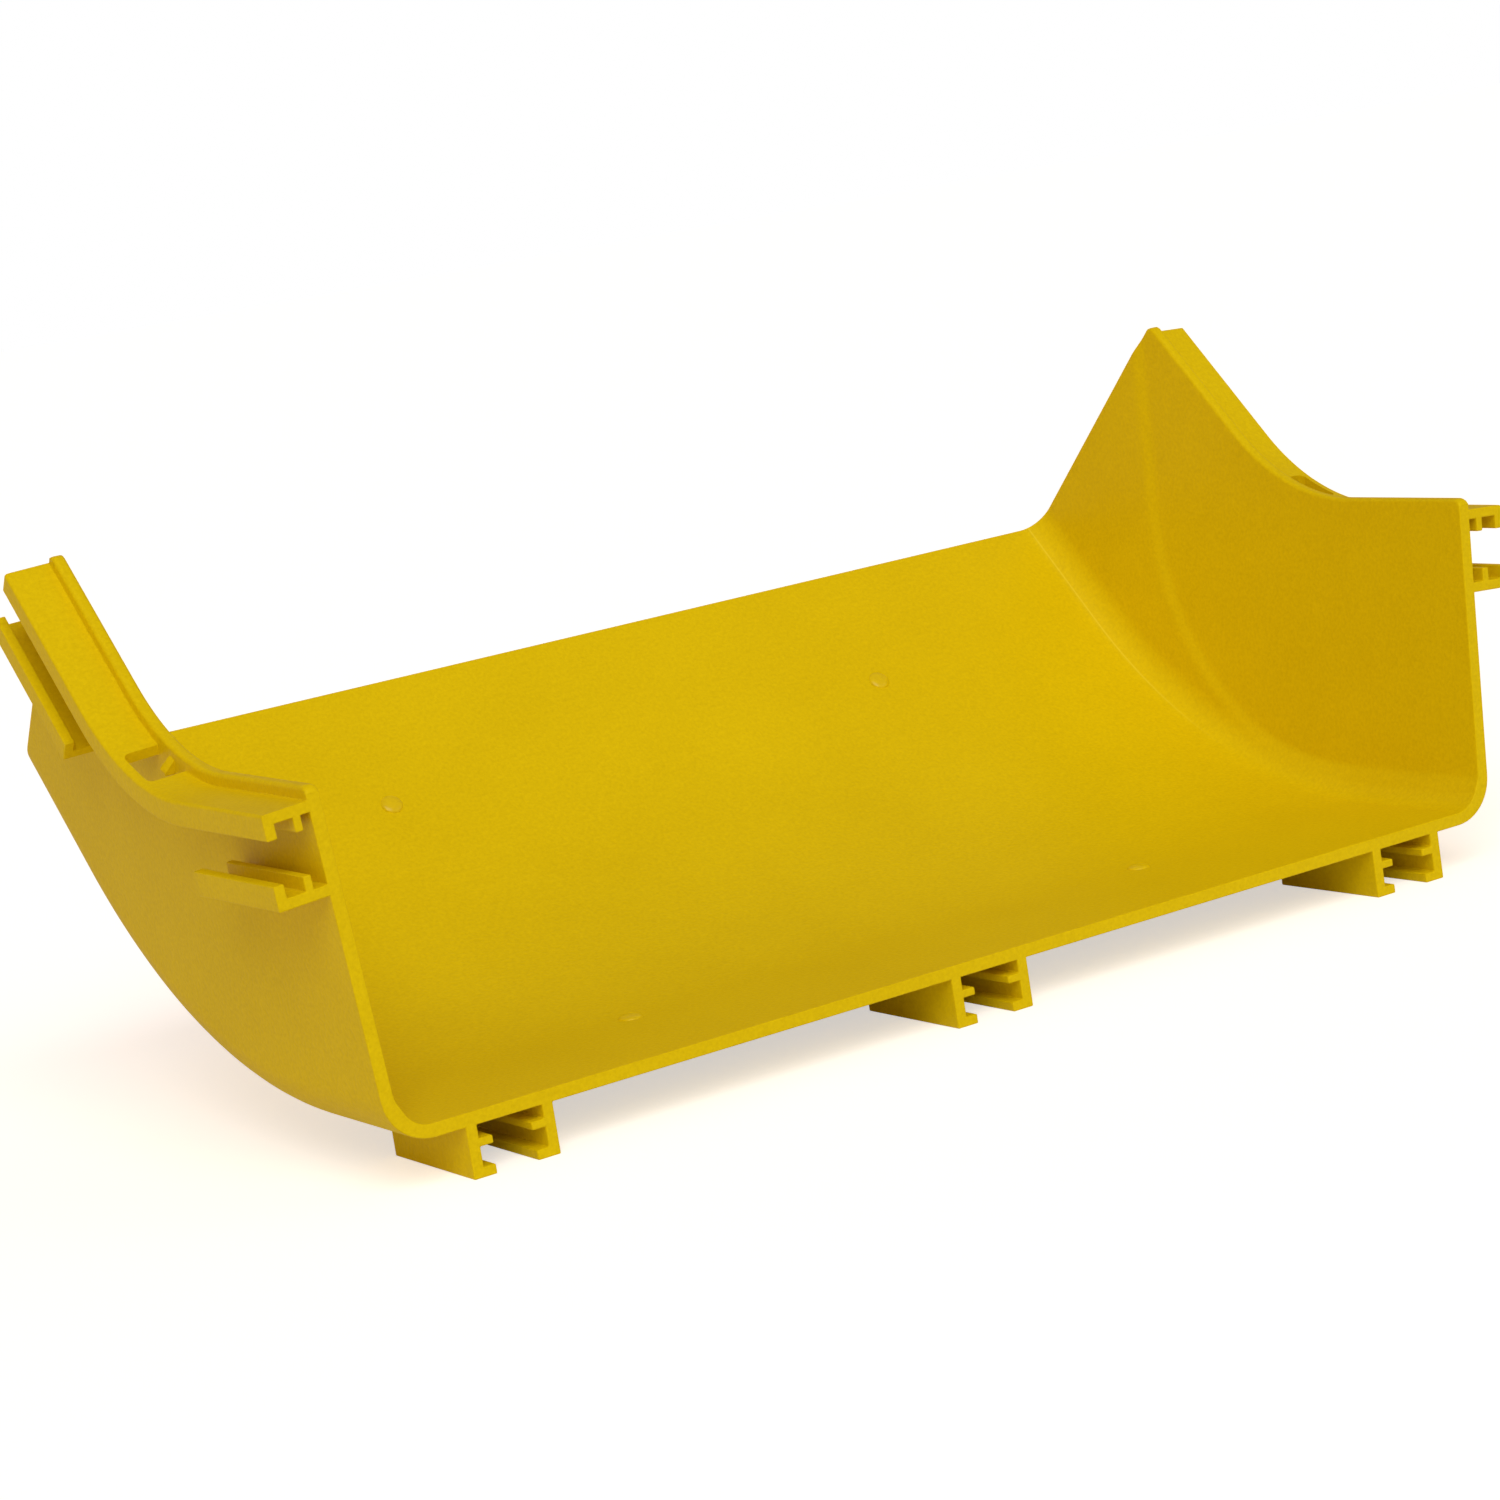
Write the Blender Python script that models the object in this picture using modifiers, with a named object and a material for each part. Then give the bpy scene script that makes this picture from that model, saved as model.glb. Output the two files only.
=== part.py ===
"""Upward 45 degree elbow of a fibre raceway, moulded in one piece.

The trough runs level from the near end, bends up, and ends in a short straight run at the far end.
Both ends carry the same coupler channels on the side walls and the same bracket rails underneath.
The near end is at -Y, +Z is up, and the rails of the near end stand on z = 0.
"""

import math

import bmesh
import bpy
from mathutils import Matrix, Vector

# The trough, in metres
INSIDE_WIDTH = 0.300
SIDE_HEIGHT = 0.075
WALL = 0.003
WALL_LEAN = math.radians(4.1)
CORNER_RADIUS = 0.008

# The bend: the radii are those of the floor's inner face and of the flange's top face
BEND_ANGLE = math.radians(45.0)
FLOOR_BEND = 0.145
FLANGE_BEND = 0.061
END_LENGTH = 0.036

# The flange that runs along the top of each side wall, with a hook at its edge and a rib beside the wall
LIP_HEIGHT = 0.003
LIP_END_ROUND = 0.002
FLANGE_REACH = 0.0106
FLANGE_PLATE = 0.0024
FLANGE_EDGE = 0.0024
FLANGE_EDGE_DROP = 0.0032
RIB_GAP = 0.0022
RIB_THICKNESS = 0.0018
RIB_HEIGHT = 0.0032

# The tray under the flange at each end: with the flange it makes the coupler channel
CHANNEL_HEIGHT = 0.0154
TRAY_LENGTH = 0.039
TRAY_REACH = 0.0117
TRAY_PLATE = 0.0024
TRAY_EDGE = 0.0024
TRAY_EDGE_RISE = 0.0031
TRAY_RIB_GAP = 0.0031
TRAY_RIB_SETBACK = 0.002

# The window through each flange, in the middle of the bend: it runs from the wall a little into the hook
WINDOW_LENGTH = 0.0133
WINDOW_BITE = 0.0003
WINDOW_CORNER = 0.0016

# The catch for the cover, on the wall in the middle of each window: its top slopes down to a blunt nose
CATCH_LENGTH = 0.0025
CATCH_REACH = 0.0024
CATCH_RISE = 0.0005
CATCH_SLOPE = 0.0026
CATCH_NOSE = 0.0009

# The pairs of rails that hold brackets, under each end: one in the middle and one near each wall
RAIL_INSET = 0.025
RAIL_PAIR_WIDTH = 0.021
RAIL_DEPTH = 0.0114
RAIL_WALL = 0.0026
FOOT_REACH = 0.0055
FOOT_THICKNESS = 0.0022
RAIL_RIB_REACH = 0.0032
RAIL_RIB_THICKNESS = 0.0018
RAIL_RIB_DROP = 0.003

# The four low domes on the floor
DOME_SPACING = 0.145
DOME_INSET = 0.037
DOME_DIAMETER = 0.0055
DOME_HEIGHT = 0.0008

# Moulded edges, and how much a piece is sunk into the one that carries it
EDGE_ROUND = 0.0008
SEAT = 0.0012

# Length left on each end until both are cut square, and how fine the round stretches are. The flange has
# an odd number of steps, so that none of its edges lies on the middle of the bend, where the halves meet.
# The round of a lip's end stops a little above the lip, so that it crosses the lip's top in an edge.
SPARE = 0.003
SPARE_STEP = 0.0007
ROUND_LIFT = 0.0001
MERGE = 0.00001
CORNER_STEPS = 6
ROUND_STEPS = 3
HALF_BEND_STEPS = 14
FLANGE_STEPS = 27
SHARP_ANGLE = math.radians(28.0)

# The resin as the photograph shows it
RESIN_COLOUR = (0.687, 0.479, 0.008, 1.0)
RESIN_ROUGHNESS = 0.42

HALF_BEND = BEND_ANGLE / 2.0
BASE_HEIGHT = WALL + RAIL_DEPTH
DEPTH = (END_LENGTH + (FLOOR_BEND + WALL + RAIL_DEPTH) * math.sin(BEND_ANGLE)
         + END_LENGTH * math.cos(BEND_ANGLE))
ORIGIN = Vector((0.0, -DEPTH / 2.0, BASE_HEIGHT))


def on_wall(out, up):
    """Section point (x, z), out from a side wall's outer face and up along it from the floor's level."""
    foot = INSIDE_WIDTH / 2.0 + WALL / math.cos(WALL_LEAN)
    x = foot + up * math.sin(WALL_LEAN) + out * math.cos(WALL_LEAN)
    z = up * math.cos(WALL_LEAN) - out * math.sin(WALL_LEAN)
    return x, z


WALL_TOP = SIDE_HEIGHT / math.cos(WALL_LEAN)
FLANGE_TOP = WALL_TOP - LIP_HEIGHT
TRAY_TOP = FLANGE_TOP - FLANGE_PLATE - CHANNEL_HEIGHT
FLANGE_TOP_Z = on_wall(0.0, FLANGE_TOP)[1]
FLANGE_CENTRE_Z = FLANGE_TOP_Z + FLANGE_BEND
FLANGE_STRAIGHT = END_LENGTH + math.tan(HALF_BEND) * (FLOOR_BEND - FLANGE_CENTRE_Z)
WINDOW_WIDTH = FLANGE_REACH - FLANGE_EDGE + WINDOW_BITE


def fillet(before, corner, after, radius, steps):
    """Points of the arc that rounds a corner of an outline."""
    corner = Vector(corner)
    to_before = (Vector(before) - corner).normalized()
    to_after = (Vector(after) - corner).normalized()
    half = to_before.angle(to_after) / 2.0
    centre = corner + (to_before + to_after).normalized() * (radius / math.sin(half))
    first = corner + to_before * (radius / math.tan(half)) - centre
    last = corner + to_after * (radius / math.tan(half)) - centre
    turn = first.angle(last)
    points = []
    for step in range(steps + 1):
        share = step / steps
        spoke = (first * math.sin((1.0 - share) * turn) + last * math.sin(share * turn)) / math.sin(turn)
        points.append(tuple(centre + spoke))
    return points


def rounded(outline, corners, radius, steps):
    """The outline with the corners of the given numbers rounded."""
    points = []
    for number, corner in enumerate(outline):
        if number in corners:
            before = outline[number - 1]
            after = outline[(number + 1) % len(outline)]
            points.extend(fillet(before, corner, after, radius, steps))
        else:
            points.append(tuple(corner))
    return points


def add_object(name, bm, collection):
    """Makes an object of a bmesh and puts it in a collection."""
    mesh = bpy.data.meshes.new(name)
    bm.to_mesh(mesh)
    bm.free()
    obj = bpy.data.objects.new(name, mesh)
    obj.location = ORIGIN
    collection.objects.link(obj)
    return obj


def as_tool(obj):
    """Marks an object as one that only cuts or is joined to another."""
    obj.hide_render = True
    obj.display_type = 'WIRE'
    return obj


def add_mirror(obj, axis, about=None):
    """Mirrors an object on its own X, or on the middle of the bend."""
    mirror = obj.modifiers.new('mirror_' + axis, 'MIRROR')
    mirror.use_axis = [axis == 'x', axis == 'y', False]
    mirror.mirror_object = about
    mirror.merge_threshold = MERGE
    return mirror


def cut(obj, tool):
    """Cuts a tool's shape out of an object."""
    boolean = obj.modifiers.new('cut_' + tool.name, 'BOOLEAN')
    boolean.operation = 'DIFFERENCE'
    boolean.solver = 'EXACT'
    boolean.object = tool
    return boolean


def join_all(obj, collection):
    """Joins everything in a collection to an object."""
    boolean = obj.modifiers.new('join_' + collection.name, 'BOOLEAN')
    boolean.operation = 'UNION'
    boolean.solver = 'EXACT'
    boolean.operand_type = 'COLLECTION'
    boolean.collection = collection
    return boolean


def only(parts, kind):
    """The verts, edges or faces among a mix of them."""
    return [part for part in parts if isinstance(part, kind)]


def run_and_bend(bm, parts, start, straight, centre_z, angle, steps):
    """Extrudes an outline from where it stands along the near run and spins it up through the bend.

    Returns the geometry that ends the bend.
    """
    if only(parts, bmesh.types.BMFace):
        moved = bmesh.ops.extrude_face_region(bm, geom=parts)['geom']
    else:
        drawn = bmesh.ops.extrude_edge_only(bm, edges=only(parts, bmesh.types.BMEdge))['geom']
        moved = only(drawn, bmesh.types.BMVert) + only(drawn, bmesh.types.BMEdge)
    bmesh.ops.translate(bm, verts=only(moved, bmesh.types.BMVert), vec=(0.0, straight - start, 0.0))
    spun = bmesh.ops.spin(bm, geom=moved, cent=(0.0, straight, centre_z), axis=(1.0, 0.0, 0.0),
                          angle=angle, steps=steps, use_duplicate=False)
    return spun['geom_last']


def run_out(bm, parts, run):
    """Extrudes the end of the bend along the far run."""
    if only(parts, bmesh.types.BMFace):
        moved = bmesh.ops.extrude_face_region(bm, geom=parts)['geom']
    else:
        moved = bmesh.ops.extrude_edge_only(bm, edges=only(parts, bmesh.types.BMEdge))['geom']
    bmesh.ops.translate(bm, verts=only(moved, bmesh.types.BMVert),
                        vec=(0.0, run * math.cos(BEND_ANGLE), run * math.sin(BEND_ANGLE)))


def make_trough(collection, bend_middle):
    """The floor and the two side walls: a quarter of the inner skin, mirrored and given its wall."""
    foot = (INSIDE_WIDTH / 2.0, 0.0)
    top = on_wall(-WALL, WALL_TOP + SPARE)
    middle = (0.0, 0.0)
    outline = [middle] + fillet(middle, foot, top, CORNER_RADIUS, CORNER_STEPS) + [top]
    bm = bmesh.new()
    verts = [bm.verts.new((x, -SPARE, z)) for x, z in outline]
    edges = [bm.edges.new(pair) for pair in zip(verts, verts[1:])]
    run_and_bend(bm, edges, -SPARE, END_LENGTH, FLOOR_BEND, HALF_BEND, HALF_BEND_STEPS)
    bmesh.ops.recalc_face_normals(bm, faces=bm.faces)
    bm.faces.ensure_lookup_table()
    floor = min(bm.faces, key=lambda face: face.calc_center_median().x)
    if floor.normal.z > 0.0:
        bmesh.ops.reverse_faces(bm, faces=bm.faces)
    trough = add_object('riser_elbow', bm, collection)
    add_mirror(trough, 'x')
    add_mirror(trough, 'y', bend_middle)
    solidify = trough.modifiers.new('wall', 'SOLIDIFY')
    solidify.thickness = WALL
    solidify.offset = 1.0
    solidify.use_even_offset = True
    return trough


def make_flange(collection):
    """The flange's section swept from end to end along the top of both side walls."""
    spare = SPARE + SPARE_STEP
    bm = bmesh.new()
    face = bm.faces.new([bm.verts.new((x, -spare, z)) for x, z in flange_outline()])
    last = run_and_bend(bm, [face], -spare, FLANGE_STRAIGHT, FLANGE_CENTRE_Z, BEND_ANGLE, FLANGE_STEPS)
    run_out(bm, last, FLANGE_STRAIGHT + spare)
    bmesh.ops.recalc_face_normals(bm, faces=bm.faces)
    flange = as_tool(add_object('flange', bm, collection))
    add_mirror(flange, 'x')
    return flange


def make_prism(name, outline, length, spare, collection):
    """A flat section in XZ, drawn as a curve and extruded to its length and a spare bit before it."""
    curve = bpy.data.curves.new(name + '_outline', 'CURVE')
    curve.dimensions = '2D'
    curve.fill_mode = 'BOTH'
    curve.extrude = (length + spare) / 2.0
    spline = curve.splines.new('POLY')
    spline.points.add(len(outline) - 1)
    for point, (x, z) in zip(spline.points, outline):
        point.co = (x, z, 0.0, 1.0)
    spline.use_cyclic_u = True
    drawn = bpy.data.objects.new(name + '_outline', curve)
    collection.objects.link(drawn)
    depsgraph = bpy.context.evaluated_depsgraph_get()
    mesh = bpy.data.meshes.new_from_object(drawn.evaluated_get(depsgraph))
    bpy.data.objects.remove(drawn)
    bm = bmesh.new()
    bm.from_mesh(mesh)
    bpy.data.meshes.remove(mesh)
    bmesh.ops.remove_doubles(bm, verts=bm.verts, dist=MERGE)
    stand = Matrix.Translation((0.0, (length - spare) / 2.0, 0.0)) @ Matrix.Rotation(math.pi / 2.0, 4, 'X')
    bmesh.ops.transform(bm, matrix=stand, verts=bm.verts)
    bmesh.ops.recalc_face_normals(bm, faces=bm.faces)
    return as_tool(add_object(name, bm, collection))


def is_outer_upright(edge, outer_x):
    """Whether an edge of the window's block stands at one of its two outer corners."""
    ends = [vert.co for vert in edge.verts]
    upright = abs(ends[0].y - ends[1].y) < MERGE
    return upright and max(abs(end.x - outer_x) for end in ends) < WINDOW_CORNER


def make_top_cutter(collection):
    """The block above the side walls: its underside follows the line of their tops."""
    top_z = on_wall(0.0, WALL_TOP)[1]
    spare = SPARE + SPARE_STEP
    bm = bmesh.new()
    edge = bm.edges.new([bm.verts.new((x, -spare, top_z)) for x in (-INSIDE_WIDTH, INSIDE_WIDTH)])
    last = run_and_bend(bm, [edge], -spare, FLANGE_STRAIGHT, FLANGE_CENTRE_Z, BEND_ANGLE, FLANGE_STEPS)
    run_out(bm, last, FLANGE_STRAIGHT + spare)
    block = bmesh.ops.extrude_face_region(bm, geom=list(bm.faces))['geom']
    for vert in only(block, bmesh.types.BMVert):
        vert.co.z = FLOOR_BEND + SIDE_HEIGHT
    bmesh.ops.recalc_face_normals(bm, faces=bm.faces)
    return as_tool(add_object('top_cutter', bm, collection))


def make_mid_block(outline, length):
    """A section drawn out evenly to both sides of the middle of the bend, about the flange's centre."""
    bm = bmesh.new()
    face = bm.faces.new([bm.verts.new((x, -length / 2.0, z - FLANGE_CENTRE_Z)) for x, z in outline])
    block = bmesh.ops.extrude_face_region(bm, geom=[face])['geom']
    bmesh.ops.translate(bm, verts=only(block, bmesh.types.BMVert), vec=(0.0, length, 0.0))
    return bm


def add_mid_block(name, bm, collection):
    """Turns such a block to the middle of the bend and mirrors it to both sides."""
    bmesh.ops.recalc_face_normals(bm, faces=bm.faces)
    place = (Matrix.Translation((0.0, FLANGE_STRAIGHT, FLANGE_CENTRE_Z))
             @ Matrix.Rotation(HALF_BEND, 4, 'X'))
    bmesh.ops.transform(bm, matrix=place, verts=bm.verts)
    block = as_tool(add_object(name, bm, collection))
    add_mirror(block, 'x')
    return block


def make_window_cutter(collection):
    """The block that opens the flange from the wall to the hook."""
    bm = make_mid_block(window_outline(), WINDOW_LENGTH)
    outer_x = max(vert.co.x for vert in bm.verts)
    corners = [edge for edge in bm.edges if is_outer_upright(edge, outer_x)]
    bmesh.ops.bevel(bm, geom=corners, offset=WINDOW_CORNER, segments=ROUND_STEPS, profile=0.5,
                    affect='EDGES', material=-1)
    return add_mid_block('window_cutter', bm, collection)


def make_end_cutter(collection, bend_middle):
    """The blocks that cut both ends square and round the ends of the lips."""
    lip_top = on_wall(0.0, WALL_TOP)[1] + ROUND_LIFT
    behind = -3.0 * SPARE
    under = -INSIDE_WIDTH
    round_end = fillet((0.0, under), (0.0, lip_top), (SPARE, lip_top), LIP_END_ROUND, CORNER_STEPS)
    outline = [(behind, under), (0.0, under)] + round_end
    outline += [(LIP_END_ROUND, lip_top + SPARE), (behind, lip_top + SPARE)]
    bm = bmesh.new()
    face = bm.faces.new([bm.verts.new((-INSIDE_WIDTH, y, z)) for y, z in outline])
    block = bmesh.ops.extrude_face_region(bm, geom=[face])['geom']
    bmesh.ops.translate(bm, verts=only(block, bmesh.types.BMVert), vec=(2.0 * INSIDE_WIDTH, 0.0, 0.0))
    bmesh.ops.recalc_face_normals(bm, faces=bm.faces)
    cutter = as_tool(add_object('end_cutter', bm, collection))
    add_mirror(cutter, 'y', bend_middle)
    return cutter


def flange_outline():
    """The flange's plate with its hook and its rib, hanging from the top of the wall."""
    under = FLANGE_TOP - FLANGE_PLATE
    hook_inner = FLANGE_REACH - FLANGE_EDGE
    rib_outer = RIB_GAP + RIB_THICKNESS
    outline = [on_wall(-SEAT, FLANGE_TOP),
               on_wall(FLANGE_REACH, FLANGE_TOP),
               on_wall(FLANGE_REACH, under - FLANGE_EDGE_DROP),
               on_wall(hook_inner, under - FLANGE_EDGE_DROP),
               on_wall(hook_inner, under),
               on_wall(rib_outer, under),
               on_wall(rib_outer, under - RIB_HEIGHT),
               on_wall(RIB_GAP, under - RIB_HEIGHT),
               on_wall(RIB_GAP, under),
               on_wall(-SEAT, under)]
    return rounded(outline, {1}, EDGE_ROUND, ROUND_STEPS)


def window_outline():
    """The window's section, which takes the plate and the rib with it."""
    above = FLANGE_TOP + RIB_HEIGHT
    below = FLANGE_TOP - FLANGE_PLATE - RIB_HEIGHT - FLANGE_EDGE_DROP
    return [on_wall(-WALL, above),
            on_wall(WINDOW_WIDTH, above),
            on_wall(WINDOW_WIDTH, below),
            on_wall(-WALL, below)]


def catch_outline():
    """The catch's section: a slope from the wall down to a nose, with a flat underside."""
    top = FLANGE_TOP + CATCH_RISE
    under = top - CATCH_SLOPE - CATCH_NOSE
    return [on_wall(-SEAT, top),
            on_wall(0.0, top),
            on_wall(CATCH_REACH, top - CATCH_SLOPE),
            on_wall(CATCH_REACH, under),
            on_wall(-SEAT, under)]


def tray_outline():
    """The tray's plate with its raised edge, standing out from the wall."""
    under = TRAY_TOP - TRAY_PLATE
    edge_inner = TRAY_REACH - TRAY_EDGE
    outline = [on_wall(-SEAT, under),
               on_wall(TRAY_REACH, under),
               on_wall(TRAY_REACH, TRAY_TOP + TRAY_EDGE_RISE),
               on_wall(edge_inner, TRAY_TOP + TRAY_EDGE_RISE),
               on_wall(edge_inner, TRAY_TOP),
               on_wall(-SEAT, TRAY_TOP)]
    return rounded(outline, {1}, EDGE_ROUND, ROUND_STEPS)


def tray_rib_outline():
    """The rib on the tray, which faces the flange's rib."""
    outer = TRAY_RIB_GAP + RIB_THICKNESS
    return [on_wall(TRAY_RIB_GAP, TRAY_TOP - SEAT),
            on_wall(outer, TRAY_TOP - SEAT),
            on_wall(outer, TRAY_TOP + RIB_HEIGHT),
            on_wall(TRAY_RIB_GAP, TRAY_TOP + RIB_HEIGHT)]


def rail_outline():
    """One rail of a pair: a leg with a foot turned in and a small rib above it."""
    outer = RAIL_PAIR_WIDTH / 2.0
    leg_inner = outer - RAIL_WALL
    rib_end = leg_inner - RAIL_RIB_REACH
    under_floor = -WALL
    rib_top = under_floor - RAIL_RIB_DROP
    rib_under = rib_top - RAIL_RIB_THICKNESS
    foot_under = under_floor - RAIL_DEPTH
    foot_top = foot_under + FOOT_THICKNESS
    outline = [(outer, under_floor + SEAT),
               (outer, foot_under),
               (outer - FOOT_REACH, foot_under),
               (outer - FOOT_REACH, foot_top),
               (leg_inner, foot_top),
               (leg_inner, rib_under),
               (rib_end, rib_under),
               (rib_end, rib_top),
               (leg_inner, rib_top),
               (leg_inner, under_floor + SEAT)]
    return rounded(outline, {1}, EDGE_ROUND, ROUND_STEPS)


def make_rails(collection, bend_middle):
    """The pairs of rails under both ends."""
    rails = make_prism('rails', rail_outline(), END_LENGTH, SPARE + SPARE_STEP, collection)
    spacing = INSIDE_WIDTH / 2.0 - RAIL_INSET
    rails.location.x = -spacing
    add_mirror(rails, 'x')
    row = rails.modifiers.new('row', 'ARRAY')
    row.count = 3
    row.use_relative_offset = False
    row.use_constant_offset = True
    row.constant_offset_displace = (spacing, 0.0, 0.0)
    add_mirror(rails, 'y', bend_middle)
    return rails


def make_domes(collection, bend_middle):
    """The low domes on the floor, two near each end."""
    bm = bmesh.new()
    bmesh.ops.create_uvsphere(bm, u_segments=20, v_segments=10, radius=1.0)
    bmesh.ops.scale(bm, vec=(DOME_DIAMETER / 2.0, DOME_DIAMETER / 2.0, DOME_HEIGHT), verts=bm.verts)
    past_straight = max(0.0, DOME_INSET - END_LENGTH) / FLOOR_BEND
    straight_part = min(DOME_INSET, END_LENGTH)
    place = (Matrix.Translation((DOME_SPACING / 2.0, straight_part, FLOOR_BEND))
             @ Matrix.Rotation(past_straight, 4, 'X')
             @ Matrix.Translation((0.0, 0.0, -FLOOR_BEND)))
    bmesh.ops.transform(bm, matrix=place, verts=bm.verts)
    domes = as_tool(add_object('domes', bm, collection))
    add_mirror(domes, 'x')
    add_mirror(domes, 'y', bend_middle)
    return domes


def make_resin():
    """The moulded resin's material."""
    resin = bpy.data.materials.new('yellow_moulded_resin')
    resin.use_nodes = True
    shader = resin.node_tree.nodes['Principled BSDF']
    shader.inputs['Base Color'].default_value = RESIN_COLOUR
    shader.inputs['Roughness'].default_value = RESIN_ROUGHNESS
    shader.inputs['Metallic'].default_value = 0.0
    resin.diffuse_color = RESIN_COLOUR
    return resin


def finish(obj, material):
    """Makes the modifiers' result the object's own mesh, with its round stretches shaded smooth."""
    depsgraph = bpy.context.evaluated_depsgraph_get()
    mesh = bpy.data.meshes.new_from_object(obj.evaluated_get(depsgraph))
    obj.modifiers.clear()
    obj.data = mesh
    mesh.name = obj.name
    mesh.materials.clear()
    mesh.materials.append(material)
    mesh.shade_smooth()
    mesh.set_sharp_from_angle(angle=SHARP_ANGLE)


def main():
    """Builds the elbow."""
    for obj in list(bpy.data.objects):
        bpy.data.objects.remove(obj)
    parts = bpy.data.collections.new('fibre_raceway_elbow')
    tools = bpy.data.collections.new('cutters_and_guides')
    joined = bpy.data.collections.new('joined_to_trough')
    for collection in (parts, tools, joined):
        bpy.context.scene.collection.children.link(collection)

    bend_middle = bpy.data.objects.new('bend_middle', None)
    bend_middle.location = ORIGIN + Vector((0.0, END_LENGTH, FLOOR_BEND))
    bend_middle.rotation_euler.x = HALF_BEND
    tools.objects.link(bend_middle)

    flange = make_flange(joined)
    cut(flange, make_window_cutter(tools))
    tray = make_prism('tray', tray_outline(), TRAY_LENGTH, SPARE + SPARE_STEP, joined)
    tray_rib = make_prism('tray_rib', tray_rib_outline(), TRAY_LENGTH - TRAY_RIB_SETBACK,
                          SPARE + 2.0 * SPARE_STEP, joined)
    for piece in (tray, tray_rib):
        add_mirror(piece, 'x')
        add_mirror(piece, 'y', bend_middle)
    add_mid_block('catches', make_mid_block(catch_outline(), CATCH_LENGTH), joined)
    make_rails(joined, bend_middle)
    make_domes(joined, bend_middle)

    trough = make_trough(parts, bend_middle)
    cut(trough, make_top_cutter(tools))
    join_all(trough, joined)
    cut(trough, make_end_cutter(tools, bend_middle))

    finish(trough, make_resin())


main()
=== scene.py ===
"""Looks of a yellow fibre raceway elbow: one satin plastic moulding on a white studio floor.

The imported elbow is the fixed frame. The moulding is drawn again here from the same sizes: a quarter of it
is swept, its trays and rails are pulled out of its faces, and it is mirrored twice. So its round faces are
smooth, every moulded edge has its small radius, and the shallow step in its side walls is there.
"""

import logging
import math
from collections.abc import Callable, Iterable
from dataclasses import dataclass, field
from enum import Enum
from typing import Any

import bmesh
import bpy
from mathutils import Matrix, Quaternion, Vector


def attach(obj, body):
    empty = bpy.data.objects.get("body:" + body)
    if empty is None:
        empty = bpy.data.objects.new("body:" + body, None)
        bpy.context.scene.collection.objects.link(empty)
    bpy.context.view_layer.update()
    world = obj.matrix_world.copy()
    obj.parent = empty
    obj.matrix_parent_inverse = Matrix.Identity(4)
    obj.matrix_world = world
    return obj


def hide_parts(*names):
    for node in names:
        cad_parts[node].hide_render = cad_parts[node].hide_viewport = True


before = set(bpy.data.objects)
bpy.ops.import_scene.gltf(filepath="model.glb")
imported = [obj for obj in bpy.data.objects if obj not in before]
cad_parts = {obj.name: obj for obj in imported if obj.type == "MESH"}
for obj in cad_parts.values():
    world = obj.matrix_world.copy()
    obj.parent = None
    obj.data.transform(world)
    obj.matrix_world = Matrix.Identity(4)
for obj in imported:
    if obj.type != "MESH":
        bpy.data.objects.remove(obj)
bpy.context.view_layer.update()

LOG = logging.getLogger("raceway_elbow")
NODE = "riser_elbow"
PHOTO_SIDE_PX = 1500
SENSOR_MM = 36.0
MM = 0.001
WELD = 0.001 * MM
TINY = 0.01 * MM
STEP_SHARE = "wall_step"
# How far a point is on the witness ridge; the same share masks the paler colour painted there as its
# highlight.
RIDGE_AND_HIGHLIGHT_SHARE = "witness_ridge_and_highlight"
WHITE_HEX = "FFFFFF"
ROUND_PROFILE = 0.5

# A Mix node has the same socket names for every kind of value, so its sockets go by number.
MIX_FACTOR = 0
FLOAT_A, FLOAT_B, FLOAT_OUT = 2, 3, 0
COLOUR_A, COLOUR_B, COLOUR_OUT = 6, 7, 2

Point = tuple[float, float]


class Across(Enum):
    """What a mirror swaps: the elbow's two sides, or its two ends."""

    SIDES = "X"
    ENDS = "Y"


def linear(hex_colour: str) -> tuple[float, float, float, float]:
    """Turns an sRGB hex colour to linear RGBA.

    Args:
        hex_colour: Six hex digits, such as "D7B70C".

    Returns:
        The linear red, green and blue, with an alpha of 1.
    """
    shares = [int(hex_colour[place:place + 2], 16) / 255.0 for place in (0, 2, 4)]
    red, green, blue = (s / 12.92 if s <= 0.04045 else ((s + 0.055) / 1.055) ** 2.4 for s in shares)
    return red, green, blue, 1.0


def smooth_step(value: float) -> float:
    """Eases a value from 0 at 0 to 1 at 1, and holds it outside."""
    held = min(1.0, max(0.0, value))
    return held * held * (3.0 - 2.0 * held)


def add_node(tree: bpy.types.NodeTree, kind: str, settings: dict[str, Any] | None = None,
             inputs: dict[str | int, Any] | None = None) -> bpy.types.Node:
    """Adds a node with its settings and inputs.

    Args:
        tree: The node tree.
        kind: The node's type name.
        settings: Its properties.
        inputs: Its input values; a socket is linked in place of a value.

    Returns:
        The new node.
    """
    node = tree.nodes.new(kind)
    for name, value in (settings or {}).items():
        setattr(node, name, value)
    for name, value in (inputs or {}).items():
        if isinstance(value, bpy.types.NodeSocket):
            tree.links.new(value, node.inputs[name])
        else:
            node.inputs[name].default_value = value
    return node


def only(parts: Iterable[Any], kind: type) -> list[Any]:
    """Picks the verts, edges or faces out of a mix of them."""
    return [part for part in parts if isinstance(part, kind)]


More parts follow.
